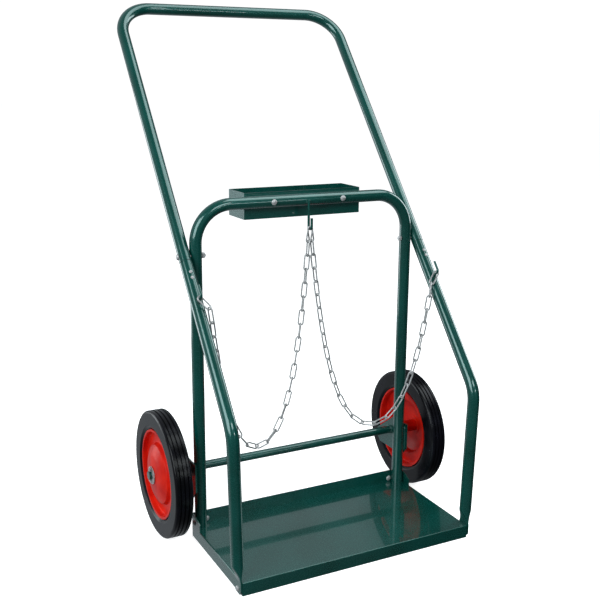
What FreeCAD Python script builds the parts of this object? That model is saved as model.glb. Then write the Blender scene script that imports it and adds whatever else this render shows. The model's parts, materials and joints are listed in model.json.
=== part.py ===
"""Oxy acetylene torch cart: a bolted tube frame on two wheels, with a deck for two gas cylinders.

Millimetres. +X is the cart's right, +Y its back, +Z up. The origin is on the ground, in the
middle of the cart's length and width; the cart faces -Y, and the cylinders are loaded from that side.
"""
import FreeCAD
import Part

import math
import os

from FreeCAD import Placement, Rotation, Vector
from Sketcher import Constraint

doc = FreeCAD.newDocument("torch_cart")
sheet = doc.addObject("Spreadsheet::Sheet", "Sizes")

X_AXIS = Vector(1, 0, 0)
Y_AXIS = Vector(0, 1, 0)
Z_AXIS = Vector(0, 0, 1)


class Size:
    """A length or an angle: its number now, and the expression that ties it to the sheet."""

    def __init__(self, value, text):
        self.value = float(value)
        self.text = text

    def __add__(self, other):
        other = as_size(other)
        return Size(self.value + other.value, f"({self.text} + {other.text})")

    def __sub__(self, other):
        other = as_size(other)
        return Size(self.value - other.value, f"({self.text} - {other.text})")

    def __mul__(self, other):
        other = as_size(other)
        return Size(self.value * other.value, f"({self.text} * {other.text})")

    def __truediv__(self, other):
        other = as_size(other)
        return Size(self.value / other.value, f"({self.text} / {other.text})")

    def __neg__(self):
        return Size(-self.value, f"(0 - {self.text})")


def as_size(number):
    """A Size as it is, or a plain number made into one."""
    return number if isinstance(number, Size) else Size(number, repr(float(number)))


def sine(angle):
    return Size(math.sin(math.radians(angle.value)), f"sin({angle.text})")


def cosine(angle):
    return Size(math.cos(math.radians(angle.value)), f"cos({angle.text})")


sheet_rows = 0


def cell(alias, number):
    """Write one driving dimension into the sheet, and return it as a Size."""
    global sheet_rows
    sheet_rows += 1
    sheet.set(f"A{sheet_rows}", alias)
    sheet.set(f"B{sheet_rows}", str(number))
    sheet.setAlias(f"B{sheet_rows}", alias)
    return Size(number, f"Sizes.{alias}")


# ---------------------------------------------------------------- driving dimensions

# deck: a sheet pan with its front and sides folded down and its rear folded up
deck_width = cell("deck_width", 520)
deck_front = cell("deck_front", 133)
deck_rear = cell("deck_rear", 134)
deck_height = cell("deck_height", 27)
sheet_metal = cell("sheet_metal", 2)
rear_flange_rise = cell("rear_flange_rise", 25)
ear_length = cell("ear_length", 45)
ear_chamfer_length = cell("ear_chamfer_length", 22)
ear_chamfer_drop = cell("ear_chamfer_drop", 10)
fold_radius = cell("fold_radius", 1.9)

# tubes
tube = cell("tube", 25)
tube_wall = cell("tube_wall", 1.6)
bend_radius = cell("bend_radius", 75)
crossbar_height = cell("crossbar_height", 705)
tube_gap = cell("tube_gap", 0.3)

# legs, braces and push handle
leg_front = cell("leg_front", 119)
knee_height = cell("knee_height", 322.5)
lean = cell("lean", 39.3)
brace_length = cell("brace_length", 355)
handle_length = cell("handle_length", 999)
plug_length = cell("plug_length", 44)
plug_clearance = cell("plug_clearance", 0.3)
shoulder_length = cell("shoulder_length", 4)
crush_start = cell("crush_start", 62)
crush_end = cell("crush_end", 28)
foot_tab_width = cell("foot_tab_width", 28)
foot_tab_lift = cell("foot_tab_lift", 2)
seam_gap = cell("seam_gap", 1.4)
ring_from_seam = cell("ring_from_seam", 5)
swage_from_seam = cell("swage_from_seam", 33)
swage_width = cell("swage_width", 1.6)
swage_depth = cell("swage_depth", 0.5)

# axle, its brackets and the wheels
axle_back = cell("axle_back", 176.4)
axle_rod = cell("axle_rod", 18)
axle_stickout = cell("axle_stickout", 8.4)
axle_clearance = cell("axle_clearance", 0.3)
bracket_thickness = cell("bracket_thickness", 3)
bracket_rear = cell("bracket_rear", 52)
bracket_rise = cell("bracket_rise", 36)
bracket_drop = cell("bracket_drop", 44)
bracket_corner = cell("bracket_corner", 18)
bracket_margin = cell("bracket_margin", 1.5)
bracket_front_drop = cell("bracket_front_drop", 25)
bracket_nose_drop = cell("bracket_nose_drop", 11)
wheel_radius = cell("wheel_radius", 135)
wheel_clear = cell("wheel_clear", 46)
tyre_half_width = cell("tyre_half_width", 19)
groove_width = cell("groove_width", 3.2)
groove_spacing = cell("groove_spacing", 8.6)
groove_depth = cell("groove_depth", 3)
tread_half = cell("tread_half", 16)
tread_crown = cell("tread_crown", 4.5)
sidewall_rise = cell("sidewall_rise", 7)
tread_round = cell("tread_round", 4)
sidewall_round = cell("sidewall_round", 5)
tyre_wall = cell("tyre_wall", 6)
rim_seat = cell("rim_seat", 92)
rim_lip = cell("rim_lip", 95)
rim_lip_inset = cell("rim_lip_inset", 3)
disc_metal = cell("disc_metal", 2)
disc_web = cell("disc_web", 4)
dome_foot = cell("dome_foot", 66)
dome_radius = cell("dome_radius", 62.5)
dome_edge_height = cell("dome_edge_height", 13.4)
dome_middle_radius = cell("dome_middle_radius", 45)
dome_middle_height = cell("dome_middle_height", 21)
dome_flat = cell("dome_flat", 24)
dome_top_height = cell("dome_top_height", 24)
dome_round = cell("dome_round", 70)
disc_fold = cell("disc_fold", 2.6)
hub_radius = cell("hub_radius", 14)
hub_bore = cell("hub_bore", 11.5)
hub_half_length = cell("hub_half_length", 24.6)
hub_flange_radius = cell("hub_flange_radius", 21)
hub_gap = cell("hub_gap", 0.3)
bush_gap = cell("bush_gap", 0.05)
bush_length = cell("bush_length", 14)
spin_clearance = cell("spin_clearance", 0.08)
side_clearance = cell("side_clearance", 0.4)
washer_radius = cell("washer_radius", 19)
washer_thickness = cell("washer_thickness", 2)
spacer_radius = cell("spacer_radius", 13)
cotter_radius = cell("cotter_radius", 1.7)
cotter_clearance = cell("cotter_clearance", 0.2)
cotter_reach = cell("cotter_reach", 13)
cotter_from_end = cell("cotter_from_end", 3.9)

# tool tray on the crossbar
tray_half_width = cell("tray_half_width", 134.5)
tray_depth = cell("tray_depth", 81)
tray_bottom = cell("tray_bottom", 669)
tray_height = cell("tray_height", 54)
tray_gap = cell("tray_gap", 0.3)
tray_sheet = cell("tray_sheet", 1.5)
tray_corner = cell("tray_corner", 2.5)

# hooks and chains
hook_rod = cell("hook_rod", 5.4)
centre_hook_across = cell("centre_hook_across", -2.5)
hook_weld_gap = cell("hook_weld_gap", 0.1)
centre_hook_bottom = cell("centre_hook_bottom", 646.8)
centre_hook_mouth = cell("centre_hook_mouth", 13.6)
centre_hook_tip = cell("centre_hook_tip", 670)
side_hook_along = cell("side_hook_along", 265)
side_hook_out = cell("side_hook_out", 31.6)
side_hook_rise = cell("side_hook_rise", 24.5)
side_hook_bend = cell("side_hook_bend", 6)
link_wire = cell("link_wire", 3.2)
link_width = cell("link_width", 13.4)
link_pitch = cell("link_pitch", 28.9)
link_rest = cell("link_rest", 0.8)
link_aside_in = cell("link_aside_in", 9)
link_aside_out = cell("link_aside_out", 5)
link_slack = cell("link_slack", 0.8)
link_spread = cell("link_spread", 3.6)
first_link_tilt = cell("first_link_tilt", 9.5)
hanging_links = cell("hanging_links", 27)
chain_twist = cell("chain_twist", 90)
chain_hook_out = cell("chain_hook_out", 22)
chain_end_in = cell("chain_end_in", 20.5)
chain_end_forward = cell("chain_end_forward", 7.5)
chain_end_drop = cell("chain_end_drop", 47.4)

# fasteners
bolt_radius = cell("bolt_radius", 3)
bolt_clearance = cell("bolt_clearance", 0.25)
bolt_head_radius = cell("bolt_head_radius", 6)
bolt_head_height = cell("bolt_head_height", 3.4)
nut_radius = cell("nut_radius", 5.8)
nut_height = cell("nut_height", 5)
thread_stickout = cell("thread_stickout", 2)
thread_gap = cell("thread_gap", 0.05)
screw_radius = cell("screw_radius", 2)
screw_head_radius = cell("screw_head_radius", 3.4)
screw_head_height = cell("screw_head_height", 1.8)
screw_length = cell("screw_length", 9)
screw_spacing = cell("screw_spacing", 12.7)
upper_screw_from_seam = cell("upper_screw_from_seam", 26)
tray_bolt_offset = cell("tray_bolt_offset", 79.5)
cross_bolt_drop = cell("cross_bolt_drop", 6)
flange_bolt_in = cell("flange_bolt_in", 16.7)
flange_bolt_rise = cell("flange_bolt_rise", 7.5)
ear_bolt_rise = cell("ear_bolt_rise", 8)
foot_bolt_height = cell("foot_bolt_height", 11)
anchor_width = cell("anchor_width", 28)
anchor_height = cell("anchor_height", 20)
anchor_thickness = cell("anchor_thickness", 3)

doc.recompute()

# ---------------------------------------------------------------- places worked out from them

tube_radius = tube / 2
bore_radius = tube_radius - tube_wall

# the cart's rearmost line is the back of the handle and its foremost is the deck's front edge
half_span = (handle_length * sine(lean) - leg_front + tube_radius - deck_front) / 2
front_y = -deck_front - half_span
rear_y = deck_rear - half_span
knee_y = -leg_front - half_span
axle_y = axle_back - half_span

half_deck = deck_width / 2
flange_x = half_deck - sheet_metal
upright_x = flange_x - tube_gap - tube_radius
upright_y = rear_y - sheet_metal - tube_gap - tube_radius
side_x = upright_x + tube + tube_gap
flange_bolt_offset = upright_x - flange_bolt_in
wheel_plane = half_deck + wheel_clear
axle_half_length = wheel_plane + hub_half_length + axle_stickout
foot_tab_thickness = tube_wall * 2 + tube_gap
foot_x = half_deck + tube_gap + foot_tab_thickness / 2
axle_height = wheel_radius
cross_bolt_along = (upright_y - knee_y) / sine(lean)
bolt_hole = bolt_radius + bolt_clearance
hook_radius = hook_rod / 2
centre_hook_y = upright_y - tube_radius - hook_weld_gap - hook_radius
centre_hook_tip_y = centre_hook_y - centre_hook_mouth


def on_slope(along, out, x=0):
    """A point of the sloping braces and handle: along them from the knee, and out from them to the front."""
    along, out = as_size(along), as_size(out)
    y = knee_y + along * sine(lean) - out * cosine(lean)
    z = knee_height + along * cosine(lean) + out * sine(lean)
    return as_size(x), y, z


# ---------------------------------------------------------------- helpers

finished = {}


def place(thing, at, rotation=Rotation(), angle=None):
    """Put an object at a point given by three sizes, turned by a rotation whose angle may be a size."""
    thing.Placement = Placement(Vector(*(as_size(size).value for size in at)), rotation)
    for axis, size in zip("xyz", at):
        thing.setExpression(f".Placement.Base.{axis}", as_size(size).text)
    if angle is not None:
        thing.setExpression(".Placement.Rotation.Angle", angle.text)


def finish(label, thing):
    """Give a finished piece its name."""
    thing.Label = label
    finished[label] = thing
    return thing


def body(name):
    return doc.addObject("PartDesign::Body", name)


def sketch(owner, role, name, offset=0):
    """A sketch on one of the body's own origin planes, or a distance in front of it."""
    plane = next(item for item in owner.Origin.OriginFeatures if item.Role == role)
    made = owner.newObject("Sketcher::SketchObject", name)
    made.AttachmentSupport = [(plane, "")]
    made.MapMode = "FlatFace"
    offset = as_size(offset)
    made.AttachmentOffset = Placement(Vector(0, 0, offset.value), Rotation())
    made.setExpression(".AttachmentOffset.Base.z", offset.text)
    return made


def tie(made, kind, index, end, size):
    """Hold one point of a sketch at a named distance from its origin."""
    number = made.addConstraint(Constraint(kind, -1, 1, index, end, size.value))
    made.setExpression(f"Constraints[{number}]", size.text)


def outline(made, points):
    """A closed outline of straight lines through the given points."""
    points = [(as_size(across), as_size(up)) for across, up in points]
    first = made.GeometryCount
    count = len(points)
    for step, (across, up) in enumerate(points):
        next_across, next_up = points[(step + 1) % count]
        start = Vector(across.value, up.value, 0)
        made.addGeometry(Part.LineSegment(start, Vector(next_across.value, next_up.value, 0)))
    for step in range(count):
        made.addConstraint(Constraint("Coincident", first + step, 2, first + (step + 1) % count, 1))
    for step, (across, up) in enumerate(points):
        tie(made, "DistanceX", first + step, 1, across)
        tie(made, "DistanceY", first + step, 1, up)


def circle(made, across, up, radius):
    """A circle at a named place, with a named radius."""
    across, up, radius = as_size(across), as_size(up), as_size(radius)
    index = made.addGeometry(Part.Circle(Vector(across.value, up.value, 0), Z_AXIS, radius.value))
    tie(made, "DistanceX", index, 3, across)
    tie(made, "DistanceY", index, 3, up)
    number = made.addConstraint(Constraint("Radius", index, radius.value))
    made.setExpression(f"Constraints[{number}]", radius.text)


def rounded_path(made, corners, radius):
    """Level and upright runs between the corners, joined by tangent arcs of one radius."""
    corners = [(as_size(across), as_size(up)) for across, up in corners]
    spots = [Vector(across.value, up.value, 0) for across, up in corners]
    last = len(spots) - 1
    runs = []
    arcs = []
    for step in range(last):
        direction = (spots[step + 1] - spots[step]).normalize()
        start = spots[step] + direction * (radius.value if step > 0 else 0)
        end = spots[step + 1] - direction * (radius.value if step < last - 1 else 0)
        runs.append(made.addGeometry(Part.LineSegment(start, end)))
        level = abs(direction.x) > abs(direction.y)
        made.addConstraint(Constraint("Horizontal" if level else "Vertical", runs[-1]))
        fixed = corners[step][1] if level else corners[step][0]
        tie(made, "DistanceY" if level else "DistanceX", runs[-1], 1, fixed)
        if step < last - 1:
            onward = (spots[step + 2] - spots[step + 1]).normalize()
            centre = end + onward * radius.value
            after = spots[step + 1] + onward * radius.value
            turns_left = direction.x * onward.y - direction.y * onward.x > 0
            first, second = (end, after) if turns_left else (after, end)
            opening = math.atan2(first.y - centre.y, first.x - centre.x)
            closing = opening + math.pi / 2
            round_part = Part.ArcOfCircle(Part.Circle(centre, Z_AXIS, radius.value), opening, closing)
            arcs.append((made.addGeometry(round_part), turns_left))
    for step, (arc, turns_left) in enumerate(arcs):
        made.addConstraint(Constraint("Tangent", runs[step], 2, arc, 1 if turns_left else 2))
        made.addConstraint(Constraint("Tangent", runs[step + 1], 1, arc, 2 if turns_left else 1))
        number = made.addConstraint(Constraint("Radius", arc, radius.value))
        made.setExpression(f"Constraints[{number}]", radius.text)
    for run, end, corner in ((runs[0], 1, 0), (runs[-1], 2, last)):
        beside = 1 if corner == 0 else last - 1
        upright = abs(spots[corner].x - spots[beside].x) < abs(spots[corner].y - spots[beside].y)
        across, up = corners[corner]
        tie(made, "DistanceY" if upright else "DistanceX", run, end, up if upright else across)


def pad(owner, profile, length, midplane=False, reverse=False):
    made = owner.newObject("PartDesign::Pad", profile.Name + "Pad")
    made.Profile = profile
    made.setExpression("Length", as_size(length).text)
    made.Midplane = midplane
    made.Reversed = reverse
    return made


def pocket(owner, profile, length):
    """Cut a profile both ways from its plane, and make sure that it removes metal."""
    doc.recompute()
    before = owner.Shape.Volume
    made = owner.newObject("PartDesign::Pocket", profile.Name + "Pocket")
    made.Profile = profile
    made.setExpression("Length", as_size(length).text)
    made.Midplane = True
    doc.recompute()
    if owner.Shape.Volume >= before - 1:
        raise RuntimeError(f"{profile.Name} cuts nothing")
    return made


def pipe(owner, path, profile, runs):
    made = owner.newObject("PartDesign::AdditivePipe", path.Name + "Pipe")
    made.Profile = profile
    made.Spine = (path, [f"Edge{step + 1}" for step in range(runs)])
    made.Transition = "Transformed"
    return made


def revolved(name, points):
    """A piece turned about the axle: each point is (distance from the cart's middle, radius)."""
    turned = body(name)
    profile = sketch(turned, "XZ_Plane", name + "_profile")
    outline(profile, points)
    revolution = turned.newObject("PartDesign::Revolution", name + "_turn")
    revolution.Profile = profile
    revolution.ReferenceAxis = (profile, ["H_Axis"])
    revolution.Angle = 360
    place(turned, (0, axle_y, axle_height))
    return turned


def cylinder(name, radius, height, at, rotation=Rotation(), angle=None):
    made = doc.addObject("Part::Cylinder", name)
    made.setExpression("Radius", as_size(radius).text)
    made.setExpression("Height", as_size(height).text)
    place(made, at, rotation, angle)
    return made


def box(name, length, width, height, at):
    made = doc.addObject("Part::Box", name)
    for side, size in zip(("Length", "Width", "Height"), (length, width, height)):
        made.setExpression(side, as_size(size).text)
    place(made, at)
    return made


def cut(name, base, tools):
    """Cut several tools from a base, one fused tool at a time."""
    tool = tools[0]
    if len(tools) > 1:
        tool = doc.addObject("Part::MultiFuse", name + "_tools")
        tool.Shapes = tools
    made = doc.addObject("Part::Cut", name)
    made.Base = base
    made.Tool = tool
    return made


def mirrored(name, source):
    """The same piece on the cart's other side."""
    made = doc.addObject("Part::Mirroring", name)
    made.Source = source
    made.Base = Vector(0, 0, 0)
    made.Normal = X_AXIS
    return made


def pair(label, source):
    """A left and a right piece in one node, as two separate solids."""
    made = doc.addObject("Part::Compound", label + "_pair")
    made.Links = [source, mirrored(label + "_mirror", source)]
    return finish(label, made)


def fused(name, shapes):
    made = doc.addObject("Part::MultiFuse", name)
    made.Shapes = shapes
    return made


def rounded(owner, name, radius, count, wanted):
    """Round the edges of a body's last feature that answer a test, and make sure how many there are."""
    doc.recompute()
    base = owner.Tip
    names = [f"Edge{step + 1}" for step, edge in enumerate(base.Shape.Edges) if wanted(edge)]
    if len(names) != count:
        raise RuntimeError(f"{name} finds {len(names)} edges, not {count}")
    made = owner.newObject("PartDesign::Fillet", name)
    made.Base = (base, names)
    made.setExpression("Radius", radius.text)
    doc.recompute()
    return made


def lies_on(edge, **planes):
    """Whether both ends of a straight edge lie on planes such as x=..., z=..."""
    if edge.Degenerated or not isinstance(edge.Curve, Part.Line):
        return False
    return all(
        abs(getattr(vertex.Point, axis) - as_size(size).value) < 0.01
        for vertex in edge.Vertexes
        for axis, size in planes.items()
    )


def is_ring(edge, spots):
    """Whether an edge is a circle about the axle, at one of the given (distance along it, radius)."""
    if edge.Degenerated or not isinstance(edge.Curve, Part.Circle):
        return False
    return any(
        abs(edge.Curve.Center.x - along.value) < 0.01 and abs(edge.Curve.Radius - radius.value) < 0.01
        for along, radius in spots
    )


ALONG_X = Rotation(Y_AXIS, 90)
AGAINST_X = Rotation(Y_AXIS, -90)
ALONG_Y = Rotation(X_AXIS, -90)
AGAINST_Y = Rotation(X_AXIS, 90)
AXES = {"+x": (ALONG_X, 0, 1), "-x": (AGAINST_X, 0, -1), "+y": (ALONG_Y, 1, 1), "-y": (AGAINST_Y, 1, -1)}


def shifted(at, direction, distance):
    """A point moved by a size along one of the named directions."""
    _, index, sign = AXES[direction]
    moved = list(at)
    moved[index] = as_size(moved[index]) + as_size(distance) * sign
    return tuple(moved)


def bolt(name, at, direction, grip):
    """A round-headed bolt: its head rests at a point, and its shank runs from there through the grip."""
    rotation = AXES[direction][0]
    shank = cylinder(name + "_shank", bolt_radius, grip + nut_height + thread_stickout, at, rotation)
    head = doc.addObject("Part::Ellipsoid", name + "_head")
    head.setExpression("Radius1", bolt_head_height.text)
    head.setExpression("Radius2", bolt_head_radius.text)
    head.setExpression("Radius3", bolt_head_radius.text)
    head.Angle1 = -90
    head.Angle2 = 0
    place(head, at, rotation)
    return fused(name, [shank, head])


def nut(name, at, direction):
    """A hexagon nut that starts at a point, with a bore that clears the bolt."""
    rotation = AXES[direction][0]
    prism = doc.addObject("Part::Prism", name + "_prism")
    prism.Polygon = 6
    prism.setExpression("Circumradius", nut_radius.text)
    prism.setExpression("Height", nut_height.text)
    place(prism, at, rotation)
    return cut(name, prism, [cylinder(name + "_bore", bolt_radius + thread_gap, nut_height, at, rotation)])


DOWN_SLOPE_AXIS = Vector(-1, 0, 0)
SLOPE = Rotation(DOWN_SLOPE_AXIS, lean.value)
out_angle = as_size(90) - lean
OUT = Rotation(X_AXIS, out_angle.value)

# ---------------------------------------------------------------- deck

deck = body("deck_body")
section = sketch(deck, "YZ_Plane", "deck_section")
outline(section, [
    (front_y, 0),
    (front_y + sheet_metal, 0),
    (front_y + sheet_metal, deck_height - sheet_metal),
    (rear_y, deck_height - sheet_metal),
    (rear_y, deck_height + rear_flange_rise),
    (rear_y - sheet_metal, deck_height + rear_flange_rise),
    (rear_y - sheet_metal, deck_height),
    (front_y, deck_height),
])
pad(deck, section, deck_width, midplane=True)
for side_name, side_face, inward in (("left", -half_deck, False), ("right", half_deck, True)):
    side_flange = sketch(deck, "YZ_Plane", side_name + "_flange", offset=side_face)
    outline(side_flange, [
        (front_y, 0),
        (rear_y, 0),
        (rear_y, deck_height + rear_flange_rise),
        (rear_y - ear_length + ear_chamfer_length, deck_height + rear_flange_rise),
        (rear_y - ear_length, deck_height + rear_flange_rise - ear_chamfer_drop),
        (rear_y - ear_length, deck_height),
        (front_y, deck_height),
    ])
    pad(deck, side_flange, sheet_metal, reverse=inward)

side_holes = sketch(deck, "YZ_Plane", "side_holes")
circle(side_holes, upright_y, deck_height + ear_bolt_rise, bolt_hole)
circle(side_holes, knee_y, foot_bolt_height, bolt_hole)
pocket(deck, side_holes, deck_width * 2)
flange_holes = sketch(deck, "XZ_Plane", "flange_holes", offset=sheet_metal / 2 - rear_y)
for across in (-flange_bolt_offset, flange_bolt_offset):
    circle(flange_holes, across, deck_height + flange_bolt_rise, bolt_hole)
pocket(deck, flange_holes, sheet_metal * 4)


def is_deck_fold(edge):
    front = lies_on(edge, y=front_y, z=deck_height)
    left = lies_on(edge, x=-half_deck, z=deck_height)
    right = lies_on(edge, x=half_deck, z=deck_height)
    corners = lies_on(edge, x=-half_deck, y=front_y) or lies_on(edge, x=half_deck, y=front_y)
    return front or left or right or corners


def is_flange_corner(edge):
    return lies_on(edge, x=-half_deck, y=rear_y) or lies_on(edge, x=half_deck, y=rear_y)


rounded(deck, "deck_folds", fold_radius, 5, is_deck_fold)
rounded(deck, "flange_corners", fold_radius, 2, is_flange_corner)
finish("deck", deck)

# ---------------------------------------------------------------- rear frame and handle


def u_tube(name, half_width, start, top):
    """A tube bent to an upside-down U, in the body's own upright plane."""
    made = body(name)
    path = sketch(made, "XZ_Plane", name + "_path")
    rounded_path(path, [(-half_width, start), (-half_width, top), (half_width, top), (half_width, start)],
                 bend_radius)
    ring = sketch(made, "XY_Plane", name + "_ring", offset=start)
    circle(ring, -half_width, 0, tube_radius)
    circle(ring, -half_width, 0, bore_radius)
    pipe(made, path, ring, 5)
    return made


def across_both(name, radius, half_length, y, z):
    """A long drill along X, for holes that line up on both sides."""
    return cylinder(name, radius, half_length * 2, (-half_length, y, z), ALONG_X)


frame_tube = u_tube("frame_tube", upright_x, deck_height, crossbar_height)
place(frame_tube, (0, upright_y, 0))
anchor_y = rear_y - sheet_metal - anchor_thickness
anchors = [
    box("left_anchor", anchor_width, anchor_thickness, anchor_height, (-upright_x, anchor_y, deck_height)),
    box("right_anchor", anchor_width, anchor_thickness, anchor_height,
        (upright_x - anchor_width, anchor_y, deck_height)),
]
# the cross bolt sits a little below where the two tubes cross, halfway between their axes
slope_bolt_y = upright_y - cross_bolt_drop * sine(lean) / cosine(lean) / 2
slope_bolt_z = on_slope(cross_bolt_along, 0)[2] - cross_bolt_drop
frame_holes = [
    across_both("frame_cross_hole", bolt_hole, side_x * 2, slope_bolt_y, slope_bolt_z),
    cylinder("frame_left_ear_hole", bolt_radius + thread_gap, tube,
             (-upright_x - tube, upright_y, deck_height + ear_bolt_rise), ALONG_X),
    cylinder("frame_right_ear_hole", bolt_radius + thread_gap, tube,
             (upright_x, upright_y, deck_height + ear_bolt_rise), ALONG_X),
]
for name, across in (("left", -1), ("right", 1)):
    frame_holes.append(cylinder(f"frame_{name}_tray_hole", bolt_hole, tube * 2,
                                (tray_bolt_offset * across, upright_y - tube, crossbar_height), ALONG_Y))
    frame_holes.append(cylinder(f"frame_{name}_flange_hole", bolt_hole, anchor_thickness * 3,
                                (flange_bolt_offset * across, rear_y - sheet_metal - anchor_thickness * 2,
                                 deck_height + flange_bolt_rise), ALONG_Y))
for name, across in (("left", -1), ("right", 1)):
    frame_holes.append(cylinder(f"frame_{name}_bore", bore_radius, anchor_height * 2,
                                (upright_x * across, upright_y, deck_height)))
finish("rear_frame", cut("rear_frame_cut", fused("frame_welded", [frame_tube] + anchors), frame_holes))

handle = u_tube("handle_tube", side_x, brace_length + seam_gap, handle_length)
plug_radius = bore_radius - plug_clearance
plug_bore = plug_radius - tube_wall
plugs = sketch(handle, "XY_Plane", "plugs", offset=brace_length - plug_length)
shoulders = sketch(handle, "XY_Plane", "shoulders", offset=brace_length + seam_gap)
for across in (-side_x, side_x):
    for radius in (plug_radius, plug_bore):
        circle(plugs, across, 0, radius)
    for radius in (tube_radius, plug_bore):
        circle(shoulders, across, 0, radius)
pad(handle, plugs, plug_length + seam_gap + shoulder_length)
pad(handle, shoulders, shoulder_length)
place(handle, (0, knee_y, knee_height), SLOPE, lean)
lower_screw_along = brace_length - upper_screw_from_seam - screw_spacing
upper_screw_along = brace_length - upper_screw_from_seam
screw_holes = [
    cylinder(f"{side_name}_{level}_screw_hole", screw_radius + thread_gap, tube, on_slope(along, 0, side_x * side),
             OUT, out_angle)
    for side_name, side in (("left", -1), ("right", 1))
    for level, along in (("lower", lower_screw_along), ("upper", upper_screw_along))
]
handle_bolt_hole = across_both("handle_cross_hole", bolt_hole, side_x * 2, slope_bolt_y, slope_bolt_z)
ring_along = brace_length + seam_gap + ring_from_seam
seam_rings = []
for side_name, side in (("left", -1), ("right", 1)):
    ring_at = on_slope(ring_along, 0, side_x * side)
    around_tube = cylinder(f"{side_name}_ring_outside", tube_radius + 1, swage_width, ring_at, SLOPE, lean)
    ring_floor = cylinder(f"{side_name}_ring_inside", tube_radius - swage_depth, swage_width, ring_at, SLOPE, lean)
    seam_rings.append(cut(f"{side_name}_seam_ring", around_tube, [ring_floor]))
finish("handle", cut("handle_cut", handle, [handle_bolt_hole] + screw_holes + seam_rings))

# ---------------------------------------------------------------- leg braces


def foot_section(centre_x, z, half_thickness, half_width, squareness, corners=32):
    """A closed smooth outline, round at one end of the crushed foot and nearly flat at the other."""
    points = []
    for step in range(corners):
        angle = 2 * math.pi * step / corners
        sideways = math.copysign(abs(math.cos(angle)) ** (2 / squareness), math.cos(angle))
        lengthways = math.copysign(abs(math.sin(angle)) ** (2 / squareness), math.sin(angle))
        points.append(Vector(centre_x + half_thickness * sideways, knee_y.value + half_width * lengthways, z))
    curve = Part.BSplineCurve()
    curve.interpolate(points, PeriodicFlag=True)
    return Part.Wire([curve.toShape()])


def brace_shape():
    """The right leg brace: a tube crushed flat at the foot, bent at the knee and open at its top."""
    knee = Vector(side_x.value, knee_y.value, knee_height.value)
    foot = Vector(foot_x.value, knee_y.value, 0)
    up_leg = (knee - foot).normalize()
    up_slope = Vector(0, math.sin(math.radians(lean.value)), math.cos(math.radians(lean.value)))
    turn = up_leg.getAngle(up_slope)
    reach = bend_radius.value * math.tan(turn / 2)
    crush_top = foot + up_leg * (crush_start.value / up_leg.z)
    bend_start = knee - up_leg * reach
    bend_end = knee + up_slope * reach
    to_centre = (up_slope - up_leg * up_slope.dot(up_leg)).normalize()
    centre = bend_start + to_centre * bend_radius.value
    middle = centre + (knee - centre).normalize() * bend_radius.value
    top = knee + up_slope * brace_length.value

    def swept(radius, start, end):
        path = Part.Wire([
            Part.makeLine(start, bend_start),
            Part.Arc(bend_start, middle, bend_end).toShape(),
            Part.makeLine(bend_end, end),
        ])
        ring = Part.Wire([Part.makeCircle(radius, start, up_leg)])
        return path.makePipeShell([ring], True, True)

    tab_half = foot_tab_thickness.value / 2
    spread = foot_tab_width.value / 2
    full = tube_radius.value
    drop = crush_start.value - crush_end.value
    stages = ((0.2, full * 0.93, full * 1.02, 2.1), (0.5, full * 0.55, full * 1.08, 2.4),
              (0.8, full * 0.22, spread, 3.4), (1, tab_half, spread, 8))
    sections = [Part.Wire([Part.makeCircle(full, crush_top, up_leg)])]
    for share, half_thickness, half_width, squareness in stages:
        z = crush_start.value - drop * share
        centre_x = crush_top.x + (foot_x.value - crush_top.x) * share
        sections.append(foot_section(centre_x, z, half_thickness, half_width, squareness))
    crushed = Part.makeLoft(sections, True, False)
    tab = Part.makeBox(
        foot_tab_thickness.value, foot_tab_width.value, crush_end.value - foot_tab_lift.value + 1,
        Vector(foot_x.value - tab_half, knee_y.value - spread, foot_tab_lift.value))
    low_edges = [edge for edge in tab.Edges if lies_on(edge, z=foot_tab_lift) and
                 (lies_on(edge, y=knee_y - foot_tab_width / 2) or lies_on(edge, y=knee_y + foot_tab_width / 2))]
    tab = tab.makeFillet(foot_tab_width.value / 4, low_edges)
    bore = swept(bore_radius.value, crush_top + up_leg * tube_wall.value, top + up_slope)
    solid = swept(full, crush_top, top).fuse([crushed, tab]).cut(bore)
    drills = [Part.makeCylinder(bolt_hole.value, tube.value * 2,
                                Vector(foot_x.value - tube.value, knee_y.value, foot_bolt_height.value), X_AXIS)]
    out = Vector(0, -up_slope.z, up_slope.y)
    for along in (lower_screw_along, upper_screw_along):
        drills.append(Part.makeCylinder(screw_radius.value + thread_gap.value, tube.value,
                                        knee + up_slope * along.value, out))
    drills.append(Part.makeCylinder(hook_radius.value + tube_gap.value / 3, tube.value,
                                    knee + up_slope * side_hook_along.value, out))
    groove_at = knee + up_slope * (brace_length.value - swage_from_seam.value)
    groove = Part.makeCylinder(full + 1, swage_width.value, groove_at, up_slope)
    drills.append(groove.cut(Part.makeCylinder(full - swage_depth.value, swage_width.value, groove_at, up_slope)))
    return solid.cut(drills)


right_brace = doc.addObject("Part::Feature", "right_brace")
right_brace.Shape = brace_shape()
finish("right_leg_brace", right_brace)
finish("left_leg_brace", mirrored("left_brace", right_brace))

# ---------------------------------------------------------------- hooks

centre_hook = body("centre_hook_body")
centre_path = sketch(centre_hook, "YZ_Plane", "centre_hook_path", offset=centre_hook_across)
hook_top = crossbar_height
rounded_path(centre_path, [
    (centre_hook_y, hook_top),
    (centre_hook_y, centre_hook_bottom),
    (centre_hook_tip_y, centre_hook_bottom),
    (centre_hook_tip_y, centre_hook_tip),
], centre_hook_mouth / 2 - 0.05)
centre_ring = sketch(centre_hook, "XY_Plane", "centre_hook_ring", offset=hook_top)
circle(centre_ring, centre_hook_across, centre_hook_y, hook_radius)
pipe(centre_hook, centre_path, centre_ring, 5)
finish("centre_hook", centre_hook)

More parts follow.
